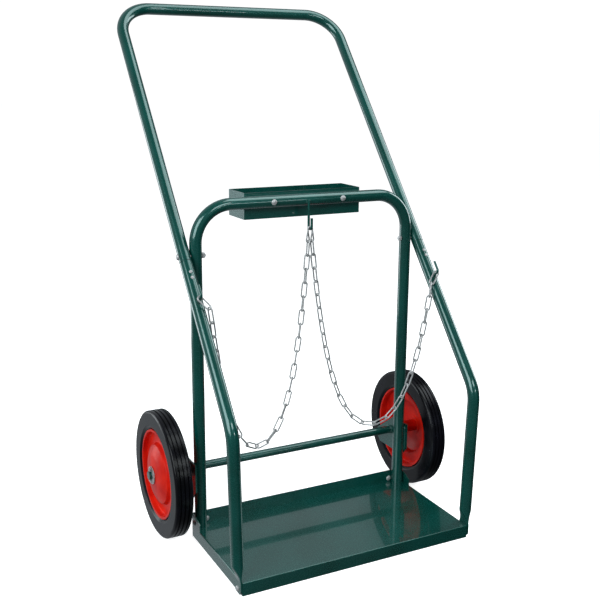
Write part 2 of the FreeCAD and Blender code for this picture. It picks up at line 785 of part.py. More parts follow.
side_hook = body("side_hook_body")
side_path = sketch(side_hook, "YZ_Plane", "side_hook_path")
hook_root = bore_radius + tube_gap
rounded_path(side_path, [
    (-hook_root, side_hook_along),
    (-side_hook_out, side_hook_along),
    (-side_hook_out, side_hook_along + side_hook_rise),
], side_hook_bend)
side_ring = sketch(side_hook, "XZ_Plane", "side_hook_ring", offset=hook_root)
circle(side_ring, 0, side_hook_along, hook_radius)
pipe(side_hook, side_path, side_ring, 3)
place(side_hook, (side_x, knee_y, knee_height), SLOPE, lean)
finish("right_side_hook", side_hook)
finish("left_side_hook", mirrored("left_hook", side_hook))

# ---------------------------------------------------------------- axle, brackets and what holds the wheels

bracket = body("bracket_body")
plate = sketch(bracket, "YZ_Plane", "bracket_plate", offset=flange_x)
bracket_front_y = upright_y - tube_radius - bracket_margin
outline(plate, [
    (bracket_front_y, axle_height - bracket_front_drop),
    (bracket_front_y, axle_height + bracket_rise),
    (axle_y - axle_rod * 0.75, axle_height + bracket_rise),
    (axle_y + bracket_rear, axle_height - bracket_nose_drop),
    (axle_y + bracket_rear, axle_height - bracket_drop + bracket_corner * 0.6),
    (axle_y + bracket_rear - bracket_corner * 0.6, axle_height - bracket_drop),
    (bracket_front_y + bracket_corner, axle_height - bracket_drop),
])
pad(bracket, plate, bracket_thickness)
bracket_hole = sketch(bracket, "YZ_Plane", "bracket_hole", offset=flange_x)
circle(bracket_hole, axle_y, axle_height, axle_rod / 2 + axle_clearance)
pocket(bracket, bracket_hole, bracket_thickness * 4)
finish("right_axle_bracket", bracket)
finish("left_axle_bracket", mirrored("left_bracket", bracket))

axle_ends = ((-1, "left"), (1, "right"))
cotter_x = axle_half_length - cotter_from_end
axle_bar = cylinder("axle_bar", axle_rod / 2, axle_half_length * 2, (-axle_half_length, axle_y, axle_height), ALONG_X)
finish("axle", cut("axle_cut", axle_bar, [
    cylinder(f"{side_name}_cotter_hole", cotter_radius + cotter_clearance, axle_rod * 2,
             (cotter_x * side, axle_y, axle_height - axle_rod))
    for side, side_name in axle_ends
]))

cotter_parts = [cylinder("cotter_stem", cotter_radius, cotter_reach * 2,
                         (cotter_x, axle_y, axle_height - cotter_reach))]
eye = doc.addObject("Part::Torus", "cotter_eye")
eye.setExpression("Radius1", (cotter_radius * 2).text)
eye.setExpression("Radius2", (cotter_radius * 0.75).text)
place(eye, (cotter_x, axle_y, axle_height + cotter_reach + cotter_radius), ALONG_X)
cotter_parts.append(eye)
for leg_name, leg_rotation in (("front", Rotation(X_AXIS, 120)), ("rear", Rotation(X_AXIS, -120))):
    cotter_parts.append(cylinder(f"cotter_{leg_name}_leg", cotter_radius * 0.8, cotter_reach * 0.5,
                                 (cotter_x, axle_y, axle_height - cotter_reach + cotter_radius), leg_rotation))
pair("cotter_pins", fused("cotter_pin", cotter_parts))


def sleeve(label, outer, start, length):
    """A ring on the axle, and its twin on the other side."""
    outside = cylinder(label + "_outside", outer, length, (start, axle_y, axle_height), ALONG_X)
    inside = cylinder(label + "_inside", axle_rod / 2 + axle_clearance, length, (start, axle_y, axle_height), ALONG_X)
    return pair(label, cut(label + "_ring", outside, [inside]))


hub_outer_end = wheel_plane + hub_half_length
hub_inner_end = wheel_plane - hub_half_length
bracket_face = flange_x + bracket_thickness
inner_washer_x = hub_inner_end - side_clearance - washer_thickness
sleeve("outer_washers", washer_radius, hub_outer_end + side_clearance, washer_thickness)
sleeve("inner_washers", washer_radius, inner_washer_x, washer_thickness)
sleeve("wheel_spacers", spacer_radius, bracket_face + side_clearance / 2,
       inner_washer_x - bracket_face - side_clearance)

# ---------------------------------------------------------------- wheels


def in_wheel(points):
    """Points given from the wheel's middle plane, moved to the right wheel's place on the axle."""
    return [(wheel_plane + along, as_size(radius)) for along, radius in points]


def wheel_piece(label, points, roundings=()):
    """A turned piece of the right wheel and its mirror image in the left wheel."""
    made = revolved(label + "_body", in_wheel(points))
    for number, (radius, spots) in enumerate(roundings):
        spots = in_wheel(spots)
        rounded(made, f"{label}_round_{number}", radius, len(spots), lambda edge, at=spots: is_ring(edge, at))
    finish("right_" + label, made)
    finish("left_" + label, mirrored(label + "_mirror", made))


lip_face = tyre_half_width - rim_lip_inset
bead_half = lip_face - disc_metal - hub_gap
bead_radius = rim_seat + hub_gap
shoulder_radius = rim_lip + hub_gap
tread_floor = wheel_radius - groove_depth
inner_half = tyre_half_width - tyre_wall
tread = []
for groove in (-1, 0, 1):
    middle = groove_spacing * groove
    tread += [
        (middle - groove_width / 2, wheel_radius),
        (middle - groove_width / 2, tread_floor),
        (middle + groove_width / 2, tread_floor),
        (middle + groove_width / 2, wheel_radius),
    ]
wheel_piece("tyre", [
    (-bead_half, bead_radius),
    (-bead_half, shoulder_radius),
    (-tyre_half_width, shoulder_radius + sidewall_rise),
    (-tyre_half_width, wheel_radius - tread_crown),
    (-tread_half, wheel_radius),
] + tread + [
    (tread_half, wheel_radius),
    (tyre_half_width, wheel_radius - tread_crown),
    (tyre_half_width, shoulder_radius + sidewall_rise),
    (bead_half, shoulder_radius),
    (bead_half, bead_radius),
    (bead_half - tyre_wall, bead_radius),
    (inner_half, shoulder_radius + sidewall_rise),
    (inner_half, wheel_radius - tyre_wall * 2),
    (-inner_half, wheel_radius - tyre_wall * 2),
    (-inner_half, shoulder_radius + sidewall_rise),
    (tyre_wall - bead_half, bead_radius),
], [
    (tread_round, [(tread_half * side, wheel_radius) for side in (-1, 1)]),
    (sidewall_round, [(tyre_half_width * side, wheel_radius - tread_crown) for side in (-1, 1)]
     + [(tyre_half_width * side, shoulder_radius + sidewall_rise) for side in (-1, 1)]),
])

rim_wall = rim_seat - disc_metal
hub_hole = hub_radius + hub_gap
wheel_piece("outer_disc", [
    (lip_face, rim_lip),
    (lip_face, rim_wall),
    (disc_web, rim_wall),
    (disc_web, dome_foot),
    (dome_edge_height, dome_radius),
    (dome_middle_height, dome_middle_radius),
    (dome_top_height, dome_flat),
    (dome_top_height, hub_hole),
    (dome_top_height - disc_metal, hub_hole),
    (dome_top_height - disc_metal, dome_flat),
    (dome_middle_height - disc_metal, dome_middle_radius),
    (dome_edge_height - disc_metal * 0.8, dome_radius - disc_metal),
    (disc_web - disc_metal, dome_foot - disc_metal),
    (disc_web - disc_metal, rim_seat),
    (lip_face - disc_metal, rim_seat),
    (lip_face - disc_metal, rim_lip),
], [
    (dome_round, [(dome_middle_height, dome_middle_radius), (dome_middle_height - disc_metal, dome_middle_radius)]),
    (disc_fold, [(disc_web, rim_wall), (disc_web, dome_foot), (dome_edge_height, dome_radius)]),
    (disc_fold / 2, [(lip_face, rim_wall)]),
])
wheel_piece("inner_disc", [
    (-lip_face, rim_lip),
    (disc_metal - lip_face, rim_lip),
    (disc_metal - lip_face, rim_seat),
    (disc_web - disc_metal, rim_seat),
    (disc_web - disc_metal, dome_foot),
    (disc_web - disc_metal * 2, dome_foot),
    (disc_web - disc_metal * 2, rim_wall),
    (-lip_face, rim_wall),
], [
    (disc_fold, [(disc_web - disc_metal * 2, rim_wall)]),
    (disc_fold / 2, [(-lip_face, rim_wall)]),
])
hub_flange_face = dome_top_height - disc_metal
wheel_piece("hub", [
    (-hub_half_length, hub_bore),
    (-hub_half_length, hub_radius),
    (hub_flange_face - disc_metal, hub_radius),
    (hub_flange_face - disc_metal, hub_flange_radius),
    (hub_flange_face, hub_flange_radius),
    (hub_flange_face, hub_radius),
    (hub_half_length, hub_radius),
    (hub_half_length, hub_bore),
])


def bush(name, start):
    running_radius = axle_rod / 2 + spin_clearance
    outside = cylinder(name + "_outside", hub_bore - bush_gap, bush_length, (start, axle_y, axle_height), ALONG_X)
    inside = cylinder(name + "_inside", running_radius, bush_length, (start, axle_y, axle_height), ALONG_X)
    return cut(name, outside, [inside])


right_bushes = doc.addObject("Part::Compound", "right_bush_pair")
right_bushes.Links = [bush("inner_bush", hub_inner_end), bush("outer_bush", hub_outer_end - bush_length)]
finish("right_bushes", right_bushes)
finish("left_bushes", mirrored("left_bush_pair", right_bushes))

# ---------------------------------------------------------------- tool tray

tray = body("tray_body")
tray_front_y = upright_y + tube_radius + tray_gap
tray_rear_y = tray_front_y + tray_depth
tray_outside = sketch(tray, "XY_Plane", "tray_outside", offset=tray_bottom)
outline(tray_outside, [
    (-tray_half_width, tray_front_y),
    (tray_half_width, tray_front_y),
    (tray_half_width, tray_rear_y),
    (-tray_half_width, tray_rear_y),
])
pad(tray, tray_outside, tray_height)
rounded(tray, "tray_corners", tray_corner, 4, lambda edge: any(
    lies_on(edge, x=across, y=along)
    for across in (-tray_half_width, tray_half_width)
    for along in (tray_front_y, tray_rear_y)
))
tray_inside = sketch(tray, "XY_Plane", "tray_inside", offset=tray_bottom + tray_sheet + tray_height)
inside_x = tray_half_width - tray_sheet
outline(tray_inside, [
    (-inside_x, tray_front_y + tray_sheet),
    (inside_x, tray_front_y + tray_sheet),
    (inside_x, tray_rear_y - tray_sheet),
    (-inside_x, tray_rear_y - tray_sheet),
])
pocket(tray, tray_inside, tray_height * 2)
tray_holes = sketch(tray, "XZ_Plane", "tray_holes", offset=-tray_front_y)
for across in (-tray_bolt_offset, tray_bolt_offset):
    circle(tray_holes, across, crossbar_height, bolt_hole)
pocket(tray, tray_holes, tray_sheet * 4)
finish("tool_tray", tray)

# ---------------------------------------------------------------- bolts, nuts and screws


def bolted(label, head_at, inward, grip):
    """Two bolts and two nuts, left and right, each pair in its own node."""
    pair(label + "_bolts", bolt(label + "_bolt", head_at, inward, grip))
    pair(label + "_nuts", nut(label + "_nut", shifted(head_at, inward, grip), inward))


bolted("tray", (tray_bolt_offset, upright_y - tube_radius, crossbar_height), "+y", tube + tray_gap + tray_sheet)
bolted("cross", (side_x + tube_radius, slope_bolt_y, slope_bolt_z), "-x", tube * 2 + tube_gap)
bolted("flange", (flange_bolt_offset, rear_y - sheet_metal - anchor_thickness, deck_height + flange_bolt_rise),
       "+y", anchor_thickness + sheet_metal)
# the ear bolts are tapped into the uprights, so they take no nuts
pair("ear_bolts", bolt("ear_bolt", (half_deck, upright_y, deck_height + ear_bolt_rise), "-x",
                       sheet_metal + tube_gap + tube_wall))
bolted("leg", (foot_x + foot_tab_thickness / 2, knee_y, foot_bolt_height), "-x",
       foot_tab_thickness + tube_gap + sheet_metal)

screws = []
for level, along in (("lower", lower_screw_along), ("upper", upper_screw_along)):
    shank = cylinder(f"{level}_screw_shank", screw_radius, screw_length,
                     on_slope(along, tube_radius - screw_length + screw_head_height / 2, side_x), OUT, out_angle)
    head = doc.addObject("Part::Ellipsoid", f"{level}_screw_head")
    head.setExpression("Radius1", screw_head_height.text)
    head.setExpression("Radius2", screw_head_radius.text)
    head.setExpression("Radius3", screw_head_radius.text)
    head.Angle1 = 0
    head.Angle2 = 90
    place(head, on_slope(along, tube_radius, side_x), OUT, out_angle)
    screws.append(fused(f"{level}_screw", [shank, head]))
screw_pair = doc.addObject("Part::Compound", "right_screws")
screw_pair.Links = screws
pair("plug_screws", screw_pair)

# ---------------------------------------------------------------- chains


def link_shape():
    """One chain link, centred, long way on X and flat in XY."""
    wire = link_wire.value / 2
    bend = (link_width.value - link_wire.value) / 2
    straight = (link_pitch.value + link_slack.value + link_wire.value) / 2 - bend
    left = Vector(-straight, 0, 0)
    right = Vector(straight, 0, 0)
    pieces = []
    for at, first in ((left, 90), (right, -90)):
        half = Part.makeTorus(bend, wire, Vector(0, 0, 0), Z_AXIS, -180, 180, 180)
        half.rotate(Vector(0, 0, 0), Z_AXIS, first)
        half.translate(at)
        pieces.append(half)
    for side in (-1, 1):
        pieces.append(Part.makeCylinder(wire, straight * 2, Vector(-straight, bend * side, 0), X_AXIS))
    return pieces[0].fuse(pieces[1:]).removeSplitter()


def hanging_points(start, end, links, pitch):
    """Joints of a hanging chain: equal steps along a catenary between two points."""
    across = Vector(end.x - start.x, end.y - start.y, 0)
    span = across.Length
    across.normalize()
    rise = end.z - start.z

    def curve(scale):
        half = span / (2 * scale)
        low = span / 2 - scale * math.asinh(rise / (2 * scale * math.sinh(half)))
        base = start.z - scale * math.cosh(low / scale)
        return lambda s: start + across * s + Z_AXIS * (base + scale * math.cosh((s - low) / scale) - start.z)

    def walk(scale):
        at = curve(scale)
        spots, s = [at(0)], 0.0
        for _ in range(links):
            near, far = s, s + pitch
            for _ in range(40):
                middle = (near + far) / 2
                if (at(middle) - spots[-1]).Length < pitch:
                    near = middle
                else:
                    far = middle
            s = far
            spots.append(at(s))
        return s, spots

    slack, tight = 30.0, 90.0
    for _ in range(50):
        scale = (slack + tight) / 2
        if walk(scale)[0] > span:
            tight = scale
        else:
            slack = scale
    return walk(scale)[1]


def chain_shape(side):
    """A chain from the centre hook to one side hook, every link its own solid."""
    wire = link_wire.value / 2
    hook = hook_radius.value
    first = Vector(centre_hook_across.value,
                   (centre_hook_y + centre_hook_tip_y).value / 2 + side * link_spread.value / 2,
                   centre_hook_bottom.value + hook + link_rest.value)
    rod = Vector(*(size.value for size in on_slope(side_hook_along, chain_hook_out, side_x)))
    rod.x *= side
    end = rod + Vector(-side * chain_end_in.value, -chain_end_forward.value, -chain_end_drop.value)
    out = Vector(*(size.value for size in on_slope(0, 1, 0))) - Vector(*(size.value for size in on_slope(0, 0, 0)))
    pitch = link_pitch.value
    top = Vector(rod)
    for _ in range(20):
        along = (top - end)
        half = along.Length / 2
        along.normalize()
        aside = Vector(-side * link_aside_in.value, 0, 0) + out * link_aside_out.value
        aside = (aside - along * aside.dot(along)).normalize()
        elbow = (top + end) / 2 + aside * math.sqrt(max(pitch * pitch - half * half, 0))
        top = rod + (rod - elbow).normalize() * (hook + link_rest.value / 2)
    tilt = math.radians(first_link_tilt.value)
    second = first + Vector(side * math.sin(tilt), 0, -math.cos(tilt)) * pitch
    joints = [first] + hanging_points(second, end, round(hanging_links.value), pitch) + [elbow, top]
    plane_normal = Vector(end.y - first.y, first.x - end.x, 0).normalize()
    count = len(joints) - 1
    template = link_shape()

    def turned_from_plane(wanted, along):
        """The angle about the link that turns the chain's own plane onto the wanted normal."""
        flat = (wanted - along * wanted.dot(along)).normalize()
        other = along.cross(plane_normal).normalize()
        return math.degrees(math.atan2(flat.dot(other), flat.dot(plane_normal)))

    first_turn = turned_from_plane(Y_AXIS, (joints[1] - joints[0]).normalize())
    last_turn = turned_from_plane(out, (joints[-1] - joints[-2]).normalize())
    first_turn = (first_turn + 90) % 180 - 90
    last_turn = (last_turn + 90) % 180 - 90
    drift = last_turn - first_turn + chain_twist.value - 90
    links = []
    for step in range(count):
        along = (joints[step + 1] - joints[step]).normalize()
        base = (plane_normal - along * plane_normal.dot(along)).normalize()
        roll = first_turn + 90 * (step % 2) + (drift - 90 * side) * step / (count - 1)
        normal = Rotation(along, roll).multVec(base)
        sideways = normal.cross(along)
        frame = FreeCAD.Matrix(along.x, sideways.x, normal.x, 0, along.y, sideways.y, normal.y, 0,
                               along.z, sideways.z, normal.z, 0, 0, 0, 0, 1)
        link = template.copy()
        link.Placement = Placement((joints[step] + joints[step + 1]) / 2, Rotation(frame))
        links.append(link)
    return Part.makeCompound(links)


for side, side_name in axle_ends:
    chain = doc.addObject("Part::Feature", side_name + "_chain_links")
    chain.Shape = chain_shape(side)
    finish(side_name + "_chain", chain)

# ---------------------------------------------------------------- check and write the pieces

doc.recompute()
for item in doc.Objects:
    if "Invalid" in item.State or "Error" in item.State:
        raise RuntimeError(f"{item.Name} did not recompute: {item.State}")
for label, thing in finished.items():
    if thing.Shape.isNull() or not thing.Shape.isValid():
        raise RuntimeError(f"{label} is not a valid shape")

os.makedirs("parts", exist_ok=True)
for label, thing in finished.items():
    thing.Shape.exportStep(f"parts/{label}.step")
    bounds = thing.Shape.BoundBox
    print(f"{label:20s} solids {len(thing.Shape.Solids):3d}  volume {thing.Shape.Volume:12.1f}"
          f"  x {bounds.XMin:8.1f} {bounds.XMax:8.1f}  y {bounds.YMin:8.1f} {bounds.YMax:8.1f}"
          f"  z {bounds.ZMin:8.1f} {bounds.ZMax:8.1f}")
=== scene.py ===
# %% [markdown]
# # A welding gas cylinder cart
#
# The cart is bent steel tube, folded sheet steel, two stamped wheels and two chains. Its metal comes in as a
# fixed frame, so this lesson is about three things: finishes that make painted steel, zinc and rubber look
# like themselves, the weld beads that a workshop leaves behind, and plain studio light.

# %% Load the frame
import json
import math

import bpy
from mathutils import Matrix, Vector


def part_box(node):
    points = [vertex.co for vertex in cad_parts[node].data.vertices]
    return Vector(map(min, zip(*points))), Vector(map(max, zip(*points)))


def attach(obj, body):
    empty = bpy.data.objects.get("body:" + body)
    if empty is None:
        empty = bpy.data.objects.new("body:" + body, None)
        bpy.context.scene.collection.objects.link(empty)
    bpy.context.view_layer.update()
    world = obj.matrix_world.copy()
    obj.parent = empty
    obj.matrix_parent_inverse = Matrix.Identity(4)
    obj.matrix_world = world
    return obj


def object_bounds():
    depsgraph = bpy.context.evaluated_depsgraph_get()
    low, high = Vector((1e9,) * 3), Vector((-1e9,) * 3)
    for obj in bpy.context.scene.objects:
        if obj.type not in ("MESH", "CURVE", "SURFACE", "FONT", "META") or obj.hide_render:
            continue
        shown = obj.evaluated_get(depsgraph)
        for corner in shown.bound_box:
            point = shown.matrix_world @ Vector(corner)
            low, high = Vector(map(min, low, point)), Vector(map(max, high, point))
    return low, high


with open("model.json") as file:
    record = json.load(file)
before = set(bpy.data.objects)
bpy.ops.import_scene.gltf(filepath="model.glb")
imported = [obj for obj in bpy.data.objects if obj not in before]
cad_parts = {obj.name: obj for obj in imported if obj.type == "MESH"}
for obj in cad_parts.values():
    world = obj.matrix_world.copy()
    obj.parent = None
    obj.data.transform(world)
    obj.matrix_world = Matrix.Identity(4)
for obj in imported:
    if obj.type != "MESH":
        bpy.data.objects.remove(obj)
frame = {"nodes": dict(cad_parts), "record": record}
cad_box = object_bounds()
nodes = frame["nodes"]
print("nodes in the frame:", len(nodes))

# %% [markdown]
# ## Where things are
#
# Later steps need a few places on the cart: its corners, and the axle's middle and radius. They could be
# typed in as numbers, but reading them from the frame's boxes keeps the pieces in place if the frame changes.
# All lengths here are metres, so a length in millimetres is written as a number times MM.

# %% Measure the frame
MM = 0.001
low, high = (Vector(corner) for corner in cad_box)
axle_low, axle_high = (Vector(corner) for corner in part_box("axle"))
axle_y = (axle_low.y + axle_high.y) / 2
axle_z = (axle_low.z + axle_high.z) / 2
axle_radius = (axle_high.z - axle_low.z) / 2
print(f"axle of {2 * axle_radius:.3f} m at y {axle_y:.4f}, z {axle_z:.4f}")

# %% [markdown]
# ## The camera
#
# The cart is seen from its front left, a little from above, with a short telephoto lens, so that the tubes
# stay nearly parallel. The camera comes first, because every finish is judged through it. Its direction is
# built from three angles, the way a tripod head turns: round, then down, then a slight tilt to the side.

# %% Place the camera
CAMERA_PLACE = (-0.87615, -1.75962, 0.95393)
CAMERA_YAW = math.radians(27.15)
CAMERA_PITCH = math.radians(-13.70)
CAMERA_ROLL = math.radians(0.39)
LENS = 55.34
SENSOR_WIDTH = 36.0
camera_data = bpy.data.cameras.new("camera")
camera_data.lens = LENS
camera_data.sensor_width = SENSOR_WIDTH
camera = bpy.data.objects.new("camera", camera_data)
bpy.context.scene.collection.objects.link(camera)
forward = Vector((
    math.sin(CAMERA_YAW) * math.cos(CAMERA_PITCH),
    math.cos(CAMERA_YAW) * math.cos(CAMERA_PITCH),
    math.sin(CAMERA_PITCH),
))
level_right = Vector((math.cos(CAMERA_YAW), -math.sin(CAMERA_YAW), 0))
level_up = level_right.cross(forward)
right = level_right * math.cos(CAMERA_ROLL) + level_up * math.sin(CAMERA_ROLL)
up = level_up * math.cos(CAMERA_ROLL) - level_right * math.sin(CAMERA_ROLL)
camera.matrix_world = Matrix((
    (right.x, up.x, -forward.x, CAMERA_PLACE[0]),
    (right.y, up.y, -forward.y, CAMERA_PLACE[1]),
    (right.z, up.z, -forward.z, CAMERA_PLACE[2]),
    (0, 0, 0, 1),
))
bpy.context.scene.camera = camera
print("camera looks along", tuple(round(part, 3) for part in forward))

# %% [markdown]
# ## A small kit for finishes
#
# A finish is a shader with a colour, a roughness and a fine bump. Wiring the same nodes by hand for each
# finish is tiresome, so a few helpers add and join them. All patterns read Object coordinates, which are
# metres on the real cart, so a scale of 400 means a grain of about 2.5 mm.
#
# A cloudy pattern seldom leaves the middle of its range, so most finishes stretch its middle part over two
# colours or two roughnesses. MIDDLE and WIDE are the two stretches that they use.

# %% Finish helpers
MIDDLE = (0.35, 0.65)
WIDE = (0.3, 0.7)


def new_finish(name):
    """A material with a Principled shader, and the tools to add nodes to it."""
    finish = bpy.data.materials.new(name)
    finish.use_nodes = True
    tree = finish.node_tree
    shader = next(node for node in tree.nodes if node.type == "BSDF_PRINCIPLED")
    place = tree.nodes.new("ShaderNodeTexCoord").outputs["Object"]
    return finish, tree, shader, place


def noise(tree, place, scale, detail=2.0):
    """A cloudy pattern with grains of about 1/scale metres."""
    node = tree.nodes.new("ShaderNodeTexNoise")
    node.inputs["Scale"].default_value = scale
    node.inputs["Detail"].default_value = detail
    tree.links.new(place, node.inputs["Vector"])
    return node.outputs["Fac"]


def ranged(tree, value, taken, given):
    """The same pattern, moved from one range of numbers to another."""
    node = tree.nodes.new("ShaderNodeMapRange")
    for socket, number in zip(("From Min", "From Max", "To Min", "To Max"), (*taken, *given)):
        node.inputs[socket].default_value = number
    tree.links.new(value, node.inputs["Value"])
    return node.outputs["Result"]


def maths(tree, operation, first, second=None):
    """One sum on patterns or numbers."""
    node = tree.nodes.new("ShaderNodeMath")
    node.operation = operation
    for socket, value in zip(node.inputs, (first, second)):
        if value is None:
            continue
        if isinstance(value, (int, float)):
            socket.default_value = value
        else:
            tree.links.new(value, socket)
    return node.outputs[0]


def blend_colours(tree, share, first, second):
    """Two colours, mixed by a pattern. Sockets 6 and 7 of this node are its colours, and output 2 the mix."""
    node = tree.nodes.new("ShaderNodeMix")
    node.data_type = "RGBA"
    tree.links.new(share, node.inputs[0])
    node.inputs[6].default_value = (*first, 1.0)
    node.inputs[7].default_value = (*second, 1.0)
    return node.outputs[2]


def bumped(tree, shader, height, depth):
    """Fine relief: depth is the height of the pattern in metres."""
    node = tree.nodes.new("ShaderNodeBump")
    node.inputs["Strength"].default_value = 1.0
    node.inputs["Distance"].default_value = depth
    tree.links.new(height, node.inputs["Height"])
    tree.links.new(node.outputs["Normal"], shader.inputs["Normal"])


print("finish helpers ready")

# %% [markdown]
# ## Green paint
#
# The frame, deck and tray are sprayed with a deep bottle green and baked. Up close, baked paint is never
# quite flat: it has a soft ripple called orange peel, and its colour drifts where the coat is thicker. One
# shiny layer would give either a sharp highlight or a broad one. This paint has both, so a clear coat gives
# the sharp line along each tube, and a duller base under it, tinted towards the green, gives the broad glow.

# %% Green paint
green_paint, tree, shader, place = new_finish("green_paint")
drift = noise(tree, place, 9.0, 3.0)
speckle = noise(tree, place, 900.0, 1.0)
GREEN_DEEP = (0.0008, 0.047, 0.036)
GREEN_LIGHT = (0.0018, 0.068, 0.055)
GREEN_GLOW = (0.45, 1.0, 0.95, 1.0)
drifted = blend_colours(tree, ranged(tree, drift, MIDDLE, (0.0, 1.0)), GREEN_DEEP, GREEN_LIGHT)
tree.links.new(drifted, shader.inputs["Base Color"])
tree.links.new(ranged(tree, speckle, WIDE, (0.22, 0.30)), shader.inputs["Roughness"])
peel = maths(tree, "ADD", noise(tree, place, 260.0, 1.0), maths(tree, "MULTIPLY", speckle, 0.2))
bumped(tree, shader, peel, 0.06 * MM)
shader.inputs["IOR"].default_value = 1.5
shader.inputs["Specular IOR Level"].default_value = 0.6
shader.inputs["Specular Tint"].default_value = GREEN_GLOW
shader.inputs["Coat Weight"].default_value = 1.0
shader.inputs["Coat Roughness"].default_value = 0.03
print("green paint mixes", GREEN_DEEP, "and", GREEN_LIGHT)

# %% [markdown]
# ## Red enamel
#
# The wheel discs and hubs are dipped in bright red enamel. It is thicker than sprayed paint, so its ripple is
# longer, and the red wanders between a deeper and a brighter tone. A mirror gloss would wash the red out, so
# the shine is kept weak.

# %% Red enamel
red_enamel, tree, shader, place = new_finish("red_enamel")
drift = noise(tree, place, 24.0, 2.0)
RED_DEEP = (0.62, 0.008, 0.005)
RED_BRIGHT = (0.86, 0.022, 0.008)
drifted = blend_colours(tree, ranged(tree, drift, MIDDLE, (0.0, 1.0)), RED_DEEP, RED_BRIGHT)
tree.links.new(drifted, shader.inputs["Base Color"])
tree.links.new(ranged(tree, noise(tree, place, 500.0), WIDE, (0.28, 0.38)), shader.inputs["Roughness"])
bumped(tree, shader, noise(tree, place, 150.0, 1.0), 0.08 * MM)
shader.inputs["Specular IOR Level"].default_value = 0.12
shader.inputs["Coat Weight"].default_value = 0.03
shader.inputs["Coat Roughness"].default_value = 0.1
print("red enamel mixes", RED_DEEP, "and", RED_BRIGHT)

# %% [markdown]
# ## Zinc plating
#
# Chain, bolts and washers are zinc plated. Bright zinc has a soft, slightly milky shine, so it is only partly
# metallic here. Tumbled parts carry tiny dents and patches of duller plating, so both the colour and the
# roughness wander.

# %% Zinc plating
zinc, tree, shader, place = new_finish("zinc_plating")
patches = noise(tree, place, 160.0, 3.0)
grit = noise(tree, place, 2200.0, 2.0)
ZINC_DULL = (0.40, 0.40, 0.40)
ZINC_BRIGHT = (0.58, 0.58, 0.59)
plated = blend_colours(tree, ranged(tree, patches, MIDDLE, (0.0, 1.0)), ZINC_DULL, ZINC_BRIGHT)
tree.links.new(plated, shader.inputs["Base Color"])
worn = maths(tree, "ADD", patches, grit)
tree.links.new(ranged(tree, worn, (0.7, 1.3), (0.22, 0.42)), shader.inputs["Roughness"])
bumped(tree, shader, grit, 0.03 * MM)
shader.inputs["Metallic"].default_value = 0.3
print("zinc runs from", ZINC_DULL, "to", ZINC_BRIGHT)

# %% [markdown]
# ## Tyre rubber
#
# New rubber is black with a faint blue bloom and a finely pebbled skin with a low sheen. Its mould is turned
# on a lathe, so its marks are rings about the axle: the distance from the axle drives a very fine ripple on
# the sidewall.

# %% Tyre rubber
rubber, tree, shader, place = new_finish("tyre_rubber")
apart = tree.nodes.new("ShaderNodeSeparateXYZ")
tree.links.new(place, apart.inputs[0])
across = maths(tree, "SUBTRACT", apart.outputs["Y"], axle_y)
upward = maths(tree, "SUBTRACT", apart.outputs["Z"], axle_z)
squares = maths(tree, "ADD", maths(tree, "POWER", across, 2), maths(tree, "POWER", upward, 2))
radius = maths(tree, "SQRT", squares)
LATHE_MARKS = 2200.0
rings = maths(tree, "SINE", maths(tree, "MULTIPLY", radius, LATHE_MARKS))
pebbles = noise(tree, place, 1500.0, 2.0)
bloom = noise(tree, place, 30.0, 4.0)
RUBBER_BLACK = (0.003, 0.003, 0.004)
RUBBER_BLOOM = (0.006, 0.006, 0.010)
bloomed = blend_colours(tree, ranged(tree, bloom, MIDDLE, (0.0, 1.0)), RUBBER_BLACK, RUBBER_BLOOM)
tree.links.new(bloomed, shader.inputs["Base Color"])
tree.links.new(ranged(tree, bloom, WIDE, (0.20, 0.28)), shader.inputs["Roughness"])
skin = maths(tree, "ADD", pebbles, maths(tree, "MULTIPLY", rings, 0.25))
bumped(tree, shader, skin, 0.03 * MM)
shader.inputs["Specular IOR Level"].default_value = 0.22
print("rubber has rings every", round(2 * math.pi / LATHE_MARKS * 1000, 1), "mm")

# %% [markdown]
# ## Bush nylon
#
# The wheels turn on nylon bushes. Only their ends show, as pale rings with a dull shine. Light sinks a little
# way into nylon, so the shader scatters a tenth of it below the surface.

# %% Bush nylon
nylon, tree, shader, place = new_finish("bush_nylon")
cloud = noise(tree, place, 300.0, 3.0)
NYLON_YELLOWED = (0.62, 0.60, 0.54)
NYLON_PALE = (0.78, 0.76, 0.70)
tree.links.new(blend_colours(tree, cloud, NYLON_YELLOWED, NYLON_PALE), shader.inputs["Base Color"])
tree.links.new(ranged(tree, cloud, WIDE, (0.40, 0.52)), shader.inputs["Roughness"])
bumped(tree, shader, cloud, 0.05 * MM)
shader.inputs["Subsurface Weight"].default_value = 0.1
print("nylon runs from", NYLON_YELLOWED, "to", NYLON_PALE)

# %% [markdown]
# ## Dark steel
#
# The spacers and the washers behind the wheels are plain blackened steel: almost black, oily and a little
# uneven, with a dull shine.

# %% Dark steel
dark_steel, tree, shader, place = new_finish("dark_steel")
oily = noise(tree, place, 220.0, 3.0)
STEEL_BLACK = (0.006, 0.005, 0.005)
STEEL_WORN = (0.022, 0.016, 0.016)
tree.links.new(blend_colours(tree, oily, STEEL_BLACK, STEEL_WORN), shader.inputs["Base Color"])
tree.links.new(ranged(tree, oily, WIDE, (0.34, 0.5)), shader.inputs["Roughness"])
bumped(tree, shader, oily, 0.05 * MM)
print("dark steel runs from", STEEL_BLACK, "to", STEEL_WORN)

# %% [markdown]
# ## Dress the frame
#
# The record says which material slot each node has, so one small table from slot to finish dresses them all.
# A node's mesh and place are left alone: only what its slots hold is changed.

